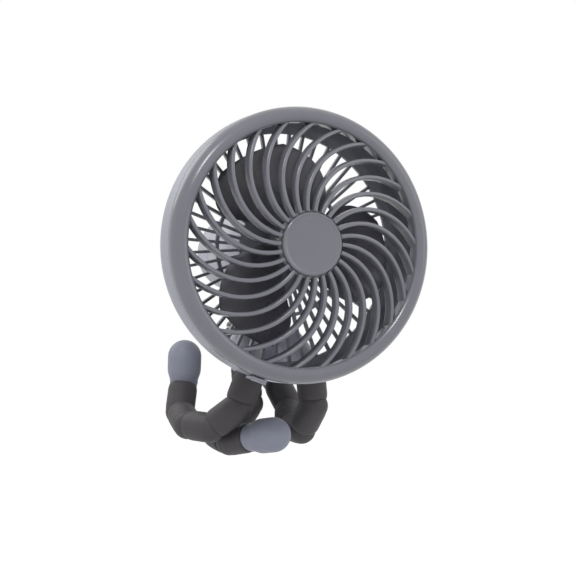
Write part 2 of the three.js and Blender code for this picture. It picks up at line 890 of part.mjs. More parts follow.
// the hollow at a link's start that takes the ball before it, as [radius, y] pairs
function cupHollow() {
  const lipRadius = Math.sqrt(cupInner ** 2 - cupLip ** 2);
  return [...arc(cupInner, 0, 0, 90, 3), [lipRadius, -cupLip], [lipRadius + cupWall, -cupLip]];
}

function cupShoulder() {
  return [waistRadius, Math.sqrt(cupOuter ** 2 - waistRadius ** 2)];
}

// a link from pivot to pivot along Y: cup, barrel, then the ball for the next link
function legLink() {
  const end = legPitch;
  const rimAngle = 180 - Math.asin(waistRadius / collarRadius) / degrees;
  const neckAngle = 180 - Math.asin(ballNeck / collarRadius) / degrees;
  const ballStart = 180 - Math.asin(ballNeck / ballRadius) / degrees;
  return turned([
    ...cupHollow(),
    cupShoulder(),
    [legRadius, cupShoulder()[1] + 4],
    [legRadius, legPitch - 7],
    ...arc(collarRadius, end, rimAngle, neckAngle, 2),
    ...arc(ballRadius, end, ballStart, 0, 4),
  ], legSides);
}

function legTip() {
  return turned([
    ...cupHollow(),
    cupShoulder(),
    [tipRadius - 1, cupShoulder()[1] + 2.4],
    [tipRadius, 11],
    [tipRadius, tipLength - 7],
    [tipRadius - 2.6, tipLength - 2],
    [0, tipLength],
  ], legSides + 2);
}

// turns a shape that runs along Y from the origin to lie along a direction from a point
function laid(geometry, point, way) {
  const turn = new THREE.Quaternion().setFromUnitVectors(new THREE.Vector3(0, 1, 0), way);
  return geometry.applyQuaternion(turn).translate(point.x, point.y, point.z);
}

function hubBody() {
  const puck = solid(turned([
    [0, hubBottom],
    [hubRadius - 2, hubBottom],
    [hubRadius, hubBottom + 2],
    [hubRadius, hubTop - 1],
    [hubRadius - 1, hubTop],
    [0, hubTop],
  ], 28).rotateX(Math.PI / 2));
  const hollows = legNames.map((name) => {
    const { root, rootWay } = legPaths[name];
    return solid(laid(turned(arc(collarRadius, 0, 180, 0, 7), legSides + 2), root, rootWay));
  });
  const pilots = forkScrewPlaces.map(([x, y]) => uprightRod(1.1 + screwFit, hubTop - 6, hubTop + 1, x, y));
  const knobs = legNames.map((name) => {
    const { root, rootWay } = legPaths[name];
    const neck = laid(rod(ballNeck, -collarRadius - 1, 0, legSides), root, rootWay);
    const head = laid(turned(arc(ballRadius, 0, 180, 0, 6), legSides), root, rootWay);
    return solid(neck).add(solid(head));
  });
  return joined([cut(puck, hollows), ...knobs]).subtract(joined(pilots));
}

function hubLid() {
  const lid = solid(turned([
    [0, lidBottom],
    [hubRadius - 0.6, lidBottom],
    [hubRadius - 0.6, lidTop - 1.6],
    [hubRadius - 2.4, lidTop],
    [0, lidTop],
  ], 28).rotateX(Math.PI / 2));
  const holes = forkScrewPlaces.map(([x, y]) => uprightRod(1.1 + screwFit, lidBottom - 1, lidTop + 1, x, y));
  return cut(lid, holes);
}

// one leg as nested groups, each turned and placed in the link before it
function leg(name) {
  const { links } = legPaths[name];
  let parent = new THREE.Matrix4();
  let holder = new THREE.Group();
  const first = holder;
  links.forEach(({ pivot, way, hinge }, order) => {
    const isTip = order === links.length - 1;
    const depth = hinge.clone().cross(way);
    const place = new THREE.Matrix4().makeBasis(hinge, way, depth).setPosition(pivot);
    const group = new THREE.Group();
    parent.clone().invert().multiply(place).decompose(group.position, group.quaternion, group.scale);
    const finish = order === 0 ? finishes.podPlastic : finishes.legRubber;
    group.add(isTip
      ? part(`${name}_tip`, legTip(), finishes.tipRubber)
      : part(`${name}_link_${order + 1}`, legLink(), finish));
    holder.add(group);
    holder = group;
    parent = place;
  });
  return first;
}

// ---- assembly -----------------------------------------------------------------------

const head = new THREE.Group();
head.position.set(0, -pivotDepth, headHeight);
head.add(
  part("front_grille", frontGrille(), finishes.frontPlastic),
  part("hub_cap", hubCap(), finishes.frontPlastic),
  part("rear_housing", rearHousing(), finishes.drumPlastic),
  part("grille_latch", grilleLatch(), finishes.drumPlastic),
  part("impeller", impeller(), finishes.darkPlastic),
  part("motor_shaft", motorShaft(), finishes.steel),
  part("motor_can", motorCan(), finishes.steel),
  part("motor_end_cap", motorEndCap(), finishes.rubber),
  ...parts("motor_terminal", motorTerminals(), finishes.copper),
  part("motor_gasket", motorGasket(), finishes.rubber),
  ...parts("motor_screw", motorScrews(), finishes.darkSteel),
  part("pod_shell", podShell(), finishes.podPlastic),
  part("pod_cap", podCap(), finishes.podPlastic),
  ...parts("pod_screw", podScrews(), finishes.darkSteel),
  part("battery_cell", batteryCell(), finishes.foil),
  ...parts("battery_tab", cellTabs(), finishes.steel),
  part("circuit_board", circuitBoard(), finishes.board),
  ...parts("board_screw", boardScrews(), finishes.darkSteel),
  part("board_switch", boardSwitch(), finishes.rubber),
  part("power_button", powerButton(), finishes.frontPlastic),
  part("lamp_lens", lampLens(), finishes.lens),
  part("charging_socket", chargingSocket(), finishes.steel),
);

const base = new THREE.Group();
base.add(
  part("neck_fork", neckFork(), finishes.darkPlastic),
  ...parts("fork_screw", forkScrews(), finishes.darkSteel),
  ...parts("tilt_washer", tiltWashers(), finishes.rubber),
  part("tilt_bolt", tiltBolt(), finishes.darkSteel),
  part("tilt_nut", tiltNut(), finishes.darkSteel),
  part("hub_lid", hubLid(), finishes.darkPlastic),
  part("hub_body", hubBody(), finishes.legRubber),
  ...legNames.map((name) => leg(name)),
);

const fan = new THREE.Group();
fan.add(head, base);

export default fan;
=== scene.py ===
import json
import math

import bmesh
import bpy
import numpy as np
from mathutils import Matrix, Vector


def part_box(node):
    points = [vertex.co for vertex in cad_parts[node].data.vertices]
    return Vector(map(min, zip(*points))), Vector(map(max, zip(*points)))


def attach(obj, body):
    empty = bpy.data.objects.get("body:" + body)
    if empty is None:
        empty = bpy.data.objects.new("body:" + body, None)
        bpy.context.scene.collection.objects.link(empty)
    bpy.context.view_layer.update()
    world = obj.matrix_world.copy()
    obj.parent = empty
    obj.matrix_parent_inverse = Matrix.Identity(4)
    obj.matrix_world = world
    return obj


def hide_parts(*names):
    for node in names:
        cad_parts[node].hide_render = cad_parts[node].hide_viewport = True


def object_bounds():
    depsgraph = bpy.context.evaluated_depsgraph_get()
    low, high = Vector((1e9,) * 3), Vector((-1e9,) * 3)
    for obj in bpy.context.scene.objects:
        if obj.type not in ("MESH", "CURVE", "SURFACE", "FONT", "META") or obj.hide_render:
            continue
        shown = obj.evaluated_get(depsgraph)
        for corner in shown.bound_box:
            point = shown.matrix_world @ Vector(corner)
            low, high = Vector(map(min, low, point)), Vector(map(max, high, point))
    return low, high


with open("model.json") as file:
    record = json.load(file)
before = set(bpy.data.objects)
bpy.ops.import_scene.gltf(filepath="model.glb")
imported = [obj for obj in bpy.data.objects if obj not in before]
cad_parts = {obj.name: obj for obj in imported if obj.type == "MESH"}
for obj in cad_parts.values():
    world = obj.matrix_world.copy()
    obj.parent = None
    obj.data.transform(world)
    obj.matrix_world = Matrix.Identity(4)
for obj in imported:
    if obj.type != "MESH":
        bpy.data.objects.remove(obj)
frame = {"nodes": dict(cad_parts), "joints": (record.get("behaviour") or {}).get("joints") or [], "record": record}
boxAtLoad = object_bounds()
print("frame loaded")

# ---- what the frame says ---------------------------------------------------------------

mm = 0.001
touchGap = 0.3               # between two pieces that touch
record = frame["record"]
joints = {joint["name"]: joint for joint in frame["joints"]}
slotOf = {part["node"]: part["material_slot"] for part in record["subparts"]}
slotColour = {entry["slot"]: tuple(entry["base_color"]) for entry in record["materials"]}
bodyOf = {node: body for body, nodes in record["behaviour"]["bodies"].items() for node in nodes}


def boxOf(node):
    # a node's corners in millimetres
    low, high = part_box(node)
    return np.array(low) / mm, np.array(high) / mm


def vertexMiddle(node):
    vertices = frame["nodes"][node].data.vertices
    places = np.empty(len(vertices) * 3)
    vertices.foreach_get("co", places)
    return places.reshape(-1, 3).mean(0) / mm


def pivotOf(joint):
    return np.array(joints[joint]["pos_m"]) / mm


# ---- camera: level with the head, a little to its left ---------------------------------

cameraPlace = {
    "azimuth": -22.71,       # degrees round the object, 0 looks along +Y
    "elevation": -2.95,
    "distance": 0.8,         # metres, as are the next two and all of the studio
    "aimLeft": 0.008,        # how far the aim lies left of the bezel's middle
    "aimDown": 0.02306,      # and below it
    "lens": 92.77, "sensor": 36,
    "near": 0.05, "far": 50,
}


def makeCamera(place, middle):
    a, e = math.radians(place["azimuth"]), math.radians(place["elevation"])
    back = Vector((math.sin(a) * math.cos(e), -math.cos(a) * math.cos(e), math.sin(e)))
    right = Vector((math.cos(a), math.sin(a), 0))
    up = right.cross(-back)
    aim = middle - right * place["aimLeft"] - up * place["aimDown"]
    camera = bpy.data.objects.new("camera", bpy.data.cameras.new("camera"))
    camera.data.lens = place["lens"]
    camera.data.sensor_width = place["sensor"]
    camera.data.clip_start, camera.data.clip_end = place["near"], place["far"]
    camera.location = middle + back * place["distance"]
    camera.rotation_mode = "QUATERNION"
    camera.rotation_quaternion = (aim - camera.location).to_track_quat("-Z", "Y")
    bpy.context.scene.collection.objects.link(camera)
    bpy.context.scene.camera = camera


# the fan axis, along +Y: depths are measured back from the plane of the front opening
bezelSeam = 9.3              # where the drum starts
drumLow, drumHigh = boxOf("rear_housing")
headRadius = (drumHigh[2] - drumLow[2]) / 2
fanAxis = np.array([0, drumLow[1] - bezelSeam, (drumHigh[2] + drumLow[2]) / 2])
widestDepth = 6              # depth of the bezel's widest circle
makeCamera(cameraPlace, Vector((fanAxis + [0, widestDepth, 0]) * mm))
print("camera set")

# ---- floor, backdrop and light ---------------------------------------------------------

studio = {
    "floorGap": 0.085,        # floor below the wound legs, clear of them when they unwind
    "floorSize": 8, "floorShade": 0.92,
    "shadowShare": 0.16,      # how much of the shadow the camera sees on the white floor
    "floorGlow": 1.08,
    "worldLevel": 0.62,
    "keyPower": 9, "keySize": 0.34, "keyPlace": (-0.75, -0.85, 1.15),
    "fillPower": 3, "fillSize": 1.0, "fillPlace": (1.1, -0.9, 0.45),
    "rimPower": 3, "rimSize": 0.8, "rimPlace": (-0.6, 0.9, 0.8),
    "lampAim": (0, -0.03, 0.05),
}


def seenDirectly(nodes, links):
    # 1 for what the camera sees straight, in gloss or through glass
    path = nodes.new("ShaderNodeLightPath")
    first = nodes.new("ShaderNodeMath")
    first.operation = "ADD"
    first.use_clamp = True
    links.new(path.outputs["Is Camera Ray"], first.inputs[0])
    links.new(path.outputs["Is Glossy Ray"], first.inputs[1])
    second = nodes.new("ShaderNodeMath")
    second.operation = "ADD"
    second.use_clamp = True
    links.new(first.outputs[0], second.inputs[0])
    links.new(path.outputs["Is Transmission Ray"], second.inputs[1])
    return second.outputs[0]


def makeWorld(level):
    world = bpy.data.worlds.new("paleRoom")
    bpy.context.scene.world = world
    world.use_nodes = True
    nodes, links = world.node_tree.nodes, world.node_tree.links
    nodes.clear()
    out = nodes.new("ShaderNodeOutputWorld")
    mix = nodes.new("ShaderNodeMixShader")
    light = nodes.new("ShaderNodeBackground")
    light.inputs["Color"].default_value = (1, 1, 1, 1)
    light.inputs["Strength"].default_value = level
    white = nodes.new("ShaderNodeBackground")
    white.inputs["Color"].default_value = (1, 1, 1, 1)
    white.inputs["Strength"].default_value = 1
    links.new(seenDirectly(nodes, links), mix.inputs[0])
    links.new(light.outputs[0], mix.inputs[1])
    links.new(white.outputs[0], mix.inputs[2])
    links.new(mix.outputs[0], out.inputs[0])


def makeFloor(facts, height):
    half = facts["floorSize"] / 2
    mesh = bpy.data.meshes.new("floor")
    corners = [(-half, -half, height), (half, -half, height), (half, half, height), (-half, half, height)]
    mesh.from_pydata(corners, [], [(0, 1, 2, 3)])
    floor = bpy.data.objects.new("floor", mesh)
    bpy.context.scene.collection.objects.link(floor)
    finish = bpy.data.materials.new("paleFloor")
    finish.use_nodes = True
    nodes, links = finish.node_tree.nodes, finish.node_tree.links
    nodes.clear()
    out = nodes.new("ShaderNodeOutputMaterial")
    matt = nodes.new("ShaderNodeBsdfDiffuse")
    shade = facts["floorShade"]
    matt.inputs["Color"].default_value = (shade, shade, shade, 1)
    white = nodes.new("ShaderNodeEmission")
    white.inputs["Strength"].default_value = facts["floorGlow"]
    share = nodes.new("ShaderNodeMath")
    share.operation = "MULTIPLY"
    share.inputs[1].default_value = 1 - facts["shadowShare"]
    links.new(seenDirectly(nodes, links), share.inputs[0])
    mix = nodes.new("ShaderNodeMixShader")
    links.new(share.outputs[0], mix.inputs[0])
    links.new(matt.outputs[0], mix.inputs[1])
    links.new(white.outputs[0], mix.inputs[2])
    links.new(mix.outputs[0], out.inputs[0])
    mesh.materials.append(finish)


def makeLamp(name, power, size, place, aim):
    lamp = bpy.data.objects.new(name, bpy.data.lights.new(name, "AREA"))
    lamp.data.shape = "DISK"
    lamp.data.size = size
    lamp.data.energy = power
    lamp.location = place
    lamp.rotation_mode = "QUATERNION"
    lamp.rotation_quaternion = (Vector(aim) - Vector(place)).to_track_quat("-Z", "Y")
    bpy.context.scene.collection.objects.link(lamp)


makeWorld(studio["worldLevel"])
makeFloor(studio, boxAtLoad[0].z - studio["floorGap"])
for lampName in ("key", "fill", "rim"):
    makeLamp(lampName + "Lamp", studio[lampName + "Power"], studio[lampName + "Size"],
             studio[lampName + "Place"], studio["lampAim"])
bpy.context.scene.view_settings.view_transform = "Standard"
print("studio lit")

# ---- shared effects, as shader node groups ---------------------------------------------


def newGroup(name, inputs, outputs):
    group = bpy.data.node_groups.new(name, "ShaderNodeTree")
    for title, default in inputs.items():
        socket = group.interface.new_socket(title, in_out="INPUT", socket_type="NodeSocketFloat")
        socket.default_value = default
    for title, kind in outputs.items():
        group.interface.new_socket(title, in_out="OUTPUT", socket_type=kind)
    nodes = group.nodes
    return group, nodes, group.links, nodes.new("NodeGroupInput"), nodes.new("NodeGroupOutput")


def noiseNode(nodes, scale, detail):
    noise = nodes.new("ShaderNodeTexNoise")
    noise.inputs["Scale"].default_value = scale
    noise.inputs["Detail"].default_value = detail
    return noise


def rangeNode(nodes, low, high, newLow=0, newHigh=1):
    span = nodes.new("ShaderNodeMapRange")
    span.interpolation_type = "SMOOTHSTEP"
    span.inputs["From Min"].default_value = low
    span.inputs["From Max"].default_value = high
    span.inputs["To Min"].default_value = newLow
    span.inputs["To Max"].default_value = newHigh
    return span


def makeGrainGroup():
    # broad cloudy variation, a fine moulded grain and the normal that goes with it
    group, nodes, links, source, out = newGroup(
        "surfaceGrain",
        {"Grain Scale": 1600, "Grain Depth": 0.1},
        {"Broad": "NodeSocketFloat", "Fine": "NodeSocketFloat", "Normal": "NodeSocketVector"})
    place = nodes.new("ShaderNodeTexCoord")
    broad = noiseNode(nodes, 28, 3)
    fine = noiseNode(nodes, 1600, 2)
    links.new(place.outputs["Object"], broad.inputs["Vector"])
    links.new(place.outputs["Object"], fine.inputs["Vector"])
    links.new(source.outputs["Grain Scale"], fine.inputs["Scale"])
    spread = rangeNode(nodes, 0.3, 0.7)
    links.new(broad.outputs["Fac"], spread.inputs["Value"])
    bump = nodes.new("ShaderNodeBump")
    bump.inputs["Distance"].default_value = 0.00015
    links.new(source.outputs["Grain Depth"], bump.inputs["Strength"])
    links.new(fine.outputs["Fac"], bump.inputs["Height"])
    links.new(spread.outputs["Result"], out.inputs["Broad"])
    links.new(fine.outputs["Fac"], out.inputs["Fine"])
    links.new(bump.outputs["Normal"], out.inputs["Normal"])
    return group


def makeDustGroup():
    # dust that settles on what faces up, thicker here and thinner there
    group, nodes, links, source, out = newGroup(
        "settledDust", {"Amount": 0.2}, {"Mask": "NodeSocketFloat"})
    surface = nodes.new("ShaderNodeNewGeometry")
    parts = nodes.new("ShaderNodeSeparateXYZ")
    links.new(surface.outputs["Normal"], parts.inputs[0])
    upward = rangeNode(nodes, 0.25, 1)
    links.new(parts.outputs["Z"], upward.inputs["Value"])
    place = nodes.new("ShaderNodeTexCoord")
    cloud = noiseNode(nodes, 90, 5)
    links.new(place.outputs["Object"], cloud.inputs["Vector"])
    patches = rangeNode(nodes, 0.35, 0.75)
    links.new(cloud.outputs["Fac"], patches.inputs["Value"])
    first = nodes.new("ShaderNodeMath")
    first.operation = "MULTIPLY"
    links.new(upward.outputs["Result"], first.inputs[0])
    links.new(patches.outputs["Result"], first.inputs[1])
    second = nodes.new("ShaderNodeMath")
    second.operation = "MULTIPLY"
    links.new(first.outputs[0], second.inputs[0])
    links.new(source.outputs["Amount"], second.inputs[1])
    links.new(second.outputs[0], out.inputs["Mask"])
    return group


def makeScratchGroup():
    # a few fine stretched scuffs, as a mask
    group, nodes, links, source, out = newGroup(
        "fineScuffs", {"Amount": 0.3}, {"Mask": "NodeSocketFloat"})
    place = nodes.new("ShaderNodeTexCoord")
    stretch = nodes.new("ShaderNodeMapping")
    stretch.inputs["Rotation"].default_value = (0.6, 0.3, 0.9)
    stretch.inputs["Scale"].default_value = (900, 60, 700)
    links.new(place.outputs["Object"], stretch.inputs["Vector"])
    streaks = noiseNode(nodes, 1, 3)
    links.new(stretch.outputs["Vector"], streaks.inputs["Vector"])
    lines = rangeNode(nodes, 0.66, 0.74)
    links.new(streaks.outputs["Fac"], lines.inputs["Value"])
    share = nodes.new("ShaderNodeMath")
    share.operation = "MULTIPLY"
    links.new(lines.outputs["Result"], share.inputs[0])
    links.new(source.outputs["Amount"], share.inputs[1])
    links.new(share.outputs[0], out.inputs["Mask"])
    return group


grainGroup = makeGrainGroup()
dustGroup = makeDustGroup()
scuffGroup = makeScratchGroup()
dustColour = (0.5, 0.49, 0.47)

# ---- materials -------------------------------------------------------------------------


def useGroup(nodes, group, **values):
    node = nodes.new("ShaderNodeGroup")
    node.node_tree = group
    for title, value in values.items():
        node.inputs[title.replace("_", " ")].default_value = value
    return node


def mixColour(nodes, links, share, first, second):
    # a share of the second colour over the first; a colour is a socket or three numbers
    mix = nodes.new("ShaderNodeMix")
    mix.data_type = "RGBA"
    links.new(share, mix.inputs["Factor"])
    for socket, colour in ((mix.inputs[6], first), (mix.inputs[7], second)):
        if isinstance(colour, bpy.types.NodeSocket):
            links.new(colour, socket)
        else:
            socket.default_value = (*colour, 1)
    return mix.outputs[2]


def shaded(colour, share):
    return tuple(min(part * share, 1) for part in colour)


def newMaterial(name, colour, metallic=0):
    finish = bpy.data.materials.new(name)
    finish.use_nodes = True
    finish.diffuse_color = (*colour, 1)
    nodes, links = finish.node_tree.nodes, finish.node_tree.links
    shader = nodes["Principled BSDF"]
    shader.inputs["Metallic"].default_value = metallic
    return finish, nodes, links, shader


def mouldedFinish(name, colour, facts):
    # plastic or rubber: cloudy tone, grain, scuffs and dust
    colour = shaded(colour, facts["shade"])
    finish, nodes, links, shader = newMaterial(name, colour)
    grain = useGroup(nodes, grainGroup, Grain_Scale=facts["grainScale"], Grain_Depth=facts["grainDepth"])
    dust = useGroup(nodes, dustGroup, Amount=facts["dust"])
    scuffs = useGroup(nodes, scuffGroup, Amount=facts["scuffs"])
    darker, lighter = shaded(colour, 1 - facts["tone"]), shaded(colour, 1 + facts["tone"])
    cloudy = mixColour(nodes, links, grain.outputs["Broad"], darker, lighter)
    scuffed = mixColour(nodes, links, scuffs.outputs["Mask"], cloudy, shaded(colour, 1.5))
    dusty = mixColour(nodes, links, dust.outputs["Mask"], scuffed, dustColour)
    links.new(dusty, shader.inputs["Base Color"])
    middle, spread = facts["roughness"], facts["sheenSpread"]
    rough = rangeNode(nodes, 0, 1, middle - spread, middle + spread)
    links.new(grain.outputs["Broad"], rough.inputs["Value"])
    links.new(rough.outputs["Result"], shader.inputs["Roughness"])
    links.new(grain.outputs["Normal"], shader.inputs["Normal"])
    shader.inputs["Specular IOR Level"].default_value = facts["gloss"]
    return finish


def metalFinish(name, colour, facts):
    # turned or plated metal: fine lines and a slightly uneven tone
    finish, nodes, links, shader = newMaterial(name, colour, 1)
    grain = useGroup(nodes, grainGroup, Grain_Scale=facts["grainScale"], Grain_Depth=facts["grainDepth"])
    scuffs = useGroup(nodes, scuffGroup, Amount=facts["scuffs"])
    cloudy = mixColour(nodes, links, grain.outputs["Broad"], shaded(colour, 0.85), shaded(colour, 1.1))
    scuffed = mixColour(nodes, links, scuffs.outputs["Mask"], cloudy, shaded(colour, 1.5))
    links.new(scuffed, shader.inputs["Base Color"])
    rough = rangeNode(nodes, 0, 1, facts["roughness"] - 0.08, facts["roughness"] + 0.1)
    links.new(grain.outputs["Fine"], rough.inputs["Value"])
    links.new(rough.outputs["Result"], shader.inputs["Roughness"])
    links.new(grain.outputs["Normal"], shader.inputs["Normal"])
    return finish


def boardFinish(name, colour):
    # lacquer over copper tracks, which show as slightly paler lines
    finish, nodes, links, shader = newMaterial(name, colour)
    place = nodes.new("ShaderNodeTexCoord")
    tracks = nodes.new("ShaderNodeTexBrick")
    tracks.inputs["Scale"].default_value = 260
    tracks.inputs["Mortar Size"].default_value = 0.09
    tracks.inputs["Color1"].default_value = (*colour, 1)
    tracks.inputs["Color2"].default_value = (*shaded(colour, 0.8), 1)
    tracks.inputs["Mortar"].default_value = (*shaded(colour, 2.2), 1)
    turn = nodes.new("ShaderNodeMapping")
    turn.inputs["Rotation"].default_value = (math.pi / 2, 0, 0)
    links.new(place.outputs["Object"], turn.inputs["Vector"])
    links.new(turn.outputs["Vector"], tracks.inputs["Vector"])
    links.new(tracks.outputs["Color"], shader.inputs["Base Color"])
    grain = useGroup(nodes, grainGroup, Grain_Depth=0.08)
    rough = rangeNode(nodes, 0, 1, 0.25, 0.45)
    links.new(grain.outputs["Broad"], rough.inputs["Value"])
    links.new(rough.outputs["Result"], shader.inputs["Roughness"])
    links.new(grain.outputs["Normal"], shader.inputs["Normal"])
    return finish


# a look's shade is its share of the slot's colour, its tone how far the clouds stray from that
plasticLook = {"grainScale": 1500, "grainDepth": 0.12, "dust": 0.1, "scuffs": 0.05, "tone": 0.03,
               "roughness": 0.36, "sheenSpread": 0.04, "gloss": 0.5, "shade": 1}
rubberLook = {"grainScale": 1100, "grainDepth": 0.35, "dust": 0.14, "scuffs": 0.04, "tone": 0.08,
              "roughness": 0.62, "sheenSpread": 0.06, "gloss": 0.4, "shade": 1.15}
metalLook = {"grainScale": 2400, "grainDepth": 0.1, "scuffs": 0.25, "roughness": 0.3}

mouldedLooks = {
    "front_plastic": {**plasticLook, "roughness": 0.22, "gloss": 0.6, "shade": 0.94},
    "drum_plastic": {**plasticLook, "roughness": 0.42},
    "pod_plastic": {**plasticLook, "roughness": 0.46, "grainDepth": 0.2, "shade": 0.9},
    # the blades' colour is lifted 2.3 times over the slot's: partly a paler tone of the plastic, partly painted
    # sheen from the sky light
    "blade_plastic": {**plasticLook, "roughness": 0.3, "gloss": 0.6, "dust": 0.2, "shade": 2.3},
    "leg_rubber": rubberLook,
    "tip_rubber": {**rubberLook, "roughness": 0.55, "tone": 0.05, "dust": 0.08},
    "black_rubber": {**rubberLook, "roughness": 0.7},
    "cell_wrap": {**plasticLook, "roughness": 0.28, "scuffs": 0.2, "grainDepth": 0.05},
    "lens_clear": {**plasticLook, "roughness": 0.2, "tone": 0.02, "dust": 0.05, "grainDepth": 0.05},
}
metalLooks = {
    "bright_steel": metalLook,
    "dark_steel": {**metalLook, "roughness": 0.42},
    "contact_brass": {**metalLook, "roughness": 0.35},
}


def camelName(words):
    first, *rest = words.replace("-", "_").split("_")
    return first + "".join(word.capitalize() for word in rest)


finishes = {}
for slotName, slotLook in mouldedLooks.items():
    finishes[slotName] = mouldedFinish(camelName(slotName), slotColour[slotName], slotLook)
for slotName, slotLook in metalLooks.items():
    finishes[slotName] = metalFinish(camelName(slotName), slotColour[slotName], slotLook)
finishes["board_green"] = boardFinish("boardGreen", slotColour["board_green"])
finishOf = {nodeName: finishes[slotName] for nodeName, slotName in slotOf.items()}
neckLook = {**plasticLook, "roughness": 0.42, "shade": 0.9}
# the neck and hub lid are of the same plastic as the blades, in a plainer copy whose colour stays a little under
# the slot's; the blades' copy is lifted for painted sheen
finishOf["neck_fork"] = mouldedFinish("neckPlastic", slotColour["blade_plastic"], neckLook)
finishOf["hub_lid"] = finishOf["neck_fork"]
print("materials made")

# ---- shapes: arrays of points in millimetres -------------------------------------------

roundSteps = 5


def surface(rows, wrapRows=False, closeEnds=False):
    # rows of points, each row a closed loop, joined by quads; a closed end gathers in its middle
    if closeEnds:
        first, last = (np.repeat(row.mean(0)[None], len(row), 0)[None] for row in (rows[0], rows[-1]))
        rows = np.concatenate([first, rows, last])
    count, width = rows.shape[:2]
    r, c = np.meshgrid(np.arange(count if wrapRows else count - 1), np.arange(width), indexing="ij")
    below, beside = (r + 1) % count, (c + 1) % width
    faces = np.stack([r * width + c, r * width + beside, below * width + beside, below * width + c], -1)
    return rows.reshape(-1, 3), faces.reshape(-1, 4)


def rounded(corners, closed=False):
    # [across, along, corner radius] triples; each rounded corner is an arc-like curve
    points = np.array([corner[:2] for corner in corners], float)
    out = []
    for order, (x, y, radius) in enumerate(corners):
        atEnd = not closed and order in (0, len(corners) - 1)
        if atEnd or radius == 0:
            out.append([[x, y]])
            continue
        here, before, after = points[order], points[order - 1], points[(order + 1) % len(corners)]
        toBefore, toAfter = before - here, after - here
        lengths = np.hypot(*toBefore), np.hypot(*toAfter)
        reach = min(radius, *(length * 0.49 for length in lengths))
        start, end = here + toBefore / lengths[0] * reach, here + toAfter / lengths[1] * reach
        u = np.linspace(0, 1, roundSteps)[:, None]
        out.append((1 - u) ** 2 * start + 2 * u * (1 - u) * here + u ** 2 * end)
    return np.concatenate(out)


def turnedAbout(profile, sides, closed=False):
    # a profile of (radius, depth) points carried round +Y
    angles = np.linspace(0, 2 * np.pi, sides, endpoint=False)
    radius, depth = profile[:, 0, None], profile[:, 1, None]
    rows = np.stack([radius * np.cos(angles), depth + 0 * angles, radius * np.sin(angles)], -1)
    return surface(rows, wrapRows=closed)


def laid(shape, start, way):
    # a shape along +Y from the origin, laid along a way from a start point
    way = np.array(way, float) / np.linalg.norm(way)
    side = np.cross(way, (0, 0, 1) if abs(way[2]) < 0.9 else (1, 0, 0))
    side /= np.linalg.norm(side)
    points, faces = shape
    return points @ np.array([side, way, np.cross(side, way)]) + start, faces


def moved(shape, offset):
    return shape[0] + offset, shape[1]


def turnedCopies(shape, count, firstAngle=0):
    # copies round +Y, by equal steps
    points, faces = shape
    allPoints, allFaces = [], []
    for order in range(count):
        angle = firstAngle + 2 * math.pi * order / count
        cosine, sine = math.cos(angle), math.sin(angle)
        turn = np.array([[cosine, 0, sine], [0, 1, 0], [-sine, 0, cosine]])
        allPoints.append(points @ turn)
        allFaces.append(faces + order * len(points))
    return np.concatenate(allPoints), np.concatenate(allFaces)


def extruded(outline, x0, x1, edge):
    # a rounded outline of (y, z) points between two planes across X, with softened rims
    loop = rounded(outline, closed=True)
    tangent = np.roll(loop, -1, 0) - np.roll(loop, 1, 0)
    normal = np.stack([tangent[:, 1], -tangent[:, 0]], -1)
    normal /= np.maximum(np.linalg.norm(normal, axis=1)[:, None], 1e-9)
    if ((loop - loop.mean(0)) * normal).sum() < 0:
        normal = -normal
    bend = np.linspace(0, math.pi / 2, 4)
    rims = [(x0 + edge * (1 - math.cos(a)), edge * (1 - math.sin(a))) for a in bend]
    rims += [(x1 - edge * (1 - math.cos(a)), edge * (1 - math.sin(a))) for a in bend[::-1]]
    rows = []
    for x, inset in rims:
        flat = loop - normal * inset
        rows.append(np.column_stack([np.full(len(flat), x), flat]))
    return surface(np.array(rows), closeEnds=True)


def softBox(size, middle, edge):
    # a box with rounded edges
    half = np.array(size) / 2
    quarters = ((-1, -1), (1, -1), (1, 1), (-1, 1))
    loop = [(across * half[1], up * half[2], edge) for across, up in quarters]
    return moved(extruded(loop, -half[0], half[0], edge), middle)


def addMesh(name, shapes):
    counts = np.cumsum([0] + [len(points) for points, _ in shapes])
    points = np.concatenate([points for points, _ in shapes]) * mm
    faces = np.concatenate([faces + start for (_, faces), start in zip(shapes, counts)])
    mesh = bpy.data.meshes.new(name)
    mesh.from_pydata(points.tolist(), [], faces.tolist())
    # seams and poles close here, and every shell turns its faces outwards
    work = bmesh.new()
    work.from_mesh(mesh)
    bmesh.ops.remove_doubles(work, verts=work.verts, dist=1e-6)
    bmesh.ops.dissolve_degenerate(work, edges=work.edges, dist=1e-7)
    bmesh.ops.recalc_face_normals(work, faces=work.faces)
    work.to_mesh(mesh)
    work.free()
    obj = bpy.data.objects.new(name, mesh)
    bpy.context.scene.collection.objects.link(obj)
    return obj


def cutAway(obj, cutters):
    # takes the cutters out of the piece for good
    tools = [addMesh(obj.name + "Cutter", [cutter]) for cutter in cutters]
    for tool in tools:
        hole = obj.modifiers.new("hole", "BOOLEAN")
        hole.operation = "DIFFERENCE"
        hole.solver = "EXACT"
        hole.use_self = True
        hole.object = tool
    scene = bpy.context.evaluated_depsgraph_get()
    mesh = bpy.data.meshes.new_from_object(obj.evaluated_get(scene))
    obj.modifiers.clear()
    obj.data = mesh
    for tool in tools:
        bpy.data.objects.remove(tool)


def finishPiece(obj, node, sharpAngle=32):
    mesh = obj.data
    mesh.materials.clear()
    mesh.materials.append(finishOf[node])
    mesh.shade_smooth()
    mesh.set_sharp_from_angle(angle=math.radians(sharpAngle))
    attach(obj, bodyOf[node])
    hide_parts(node)
    return obj


def makePiece(node, shapes, cutters=(), sharpAngle=32):
    obj = addMesh(camelName(node), shapes)
    if cutters:
        cutAway(obj, cutters)
    return finishPiece(obj, node, sharpAngle)


def onAxis(shape):
    return moved(shape, fanAxis)


def aroundAxis(radius, degrees, depth):
    angle = math.radians(degrees)
    return fanAxis + [radius * math.cos(angle), depth, radius * math.sin(angle)]


# ---- front of the head -----------------------------------------------------------------

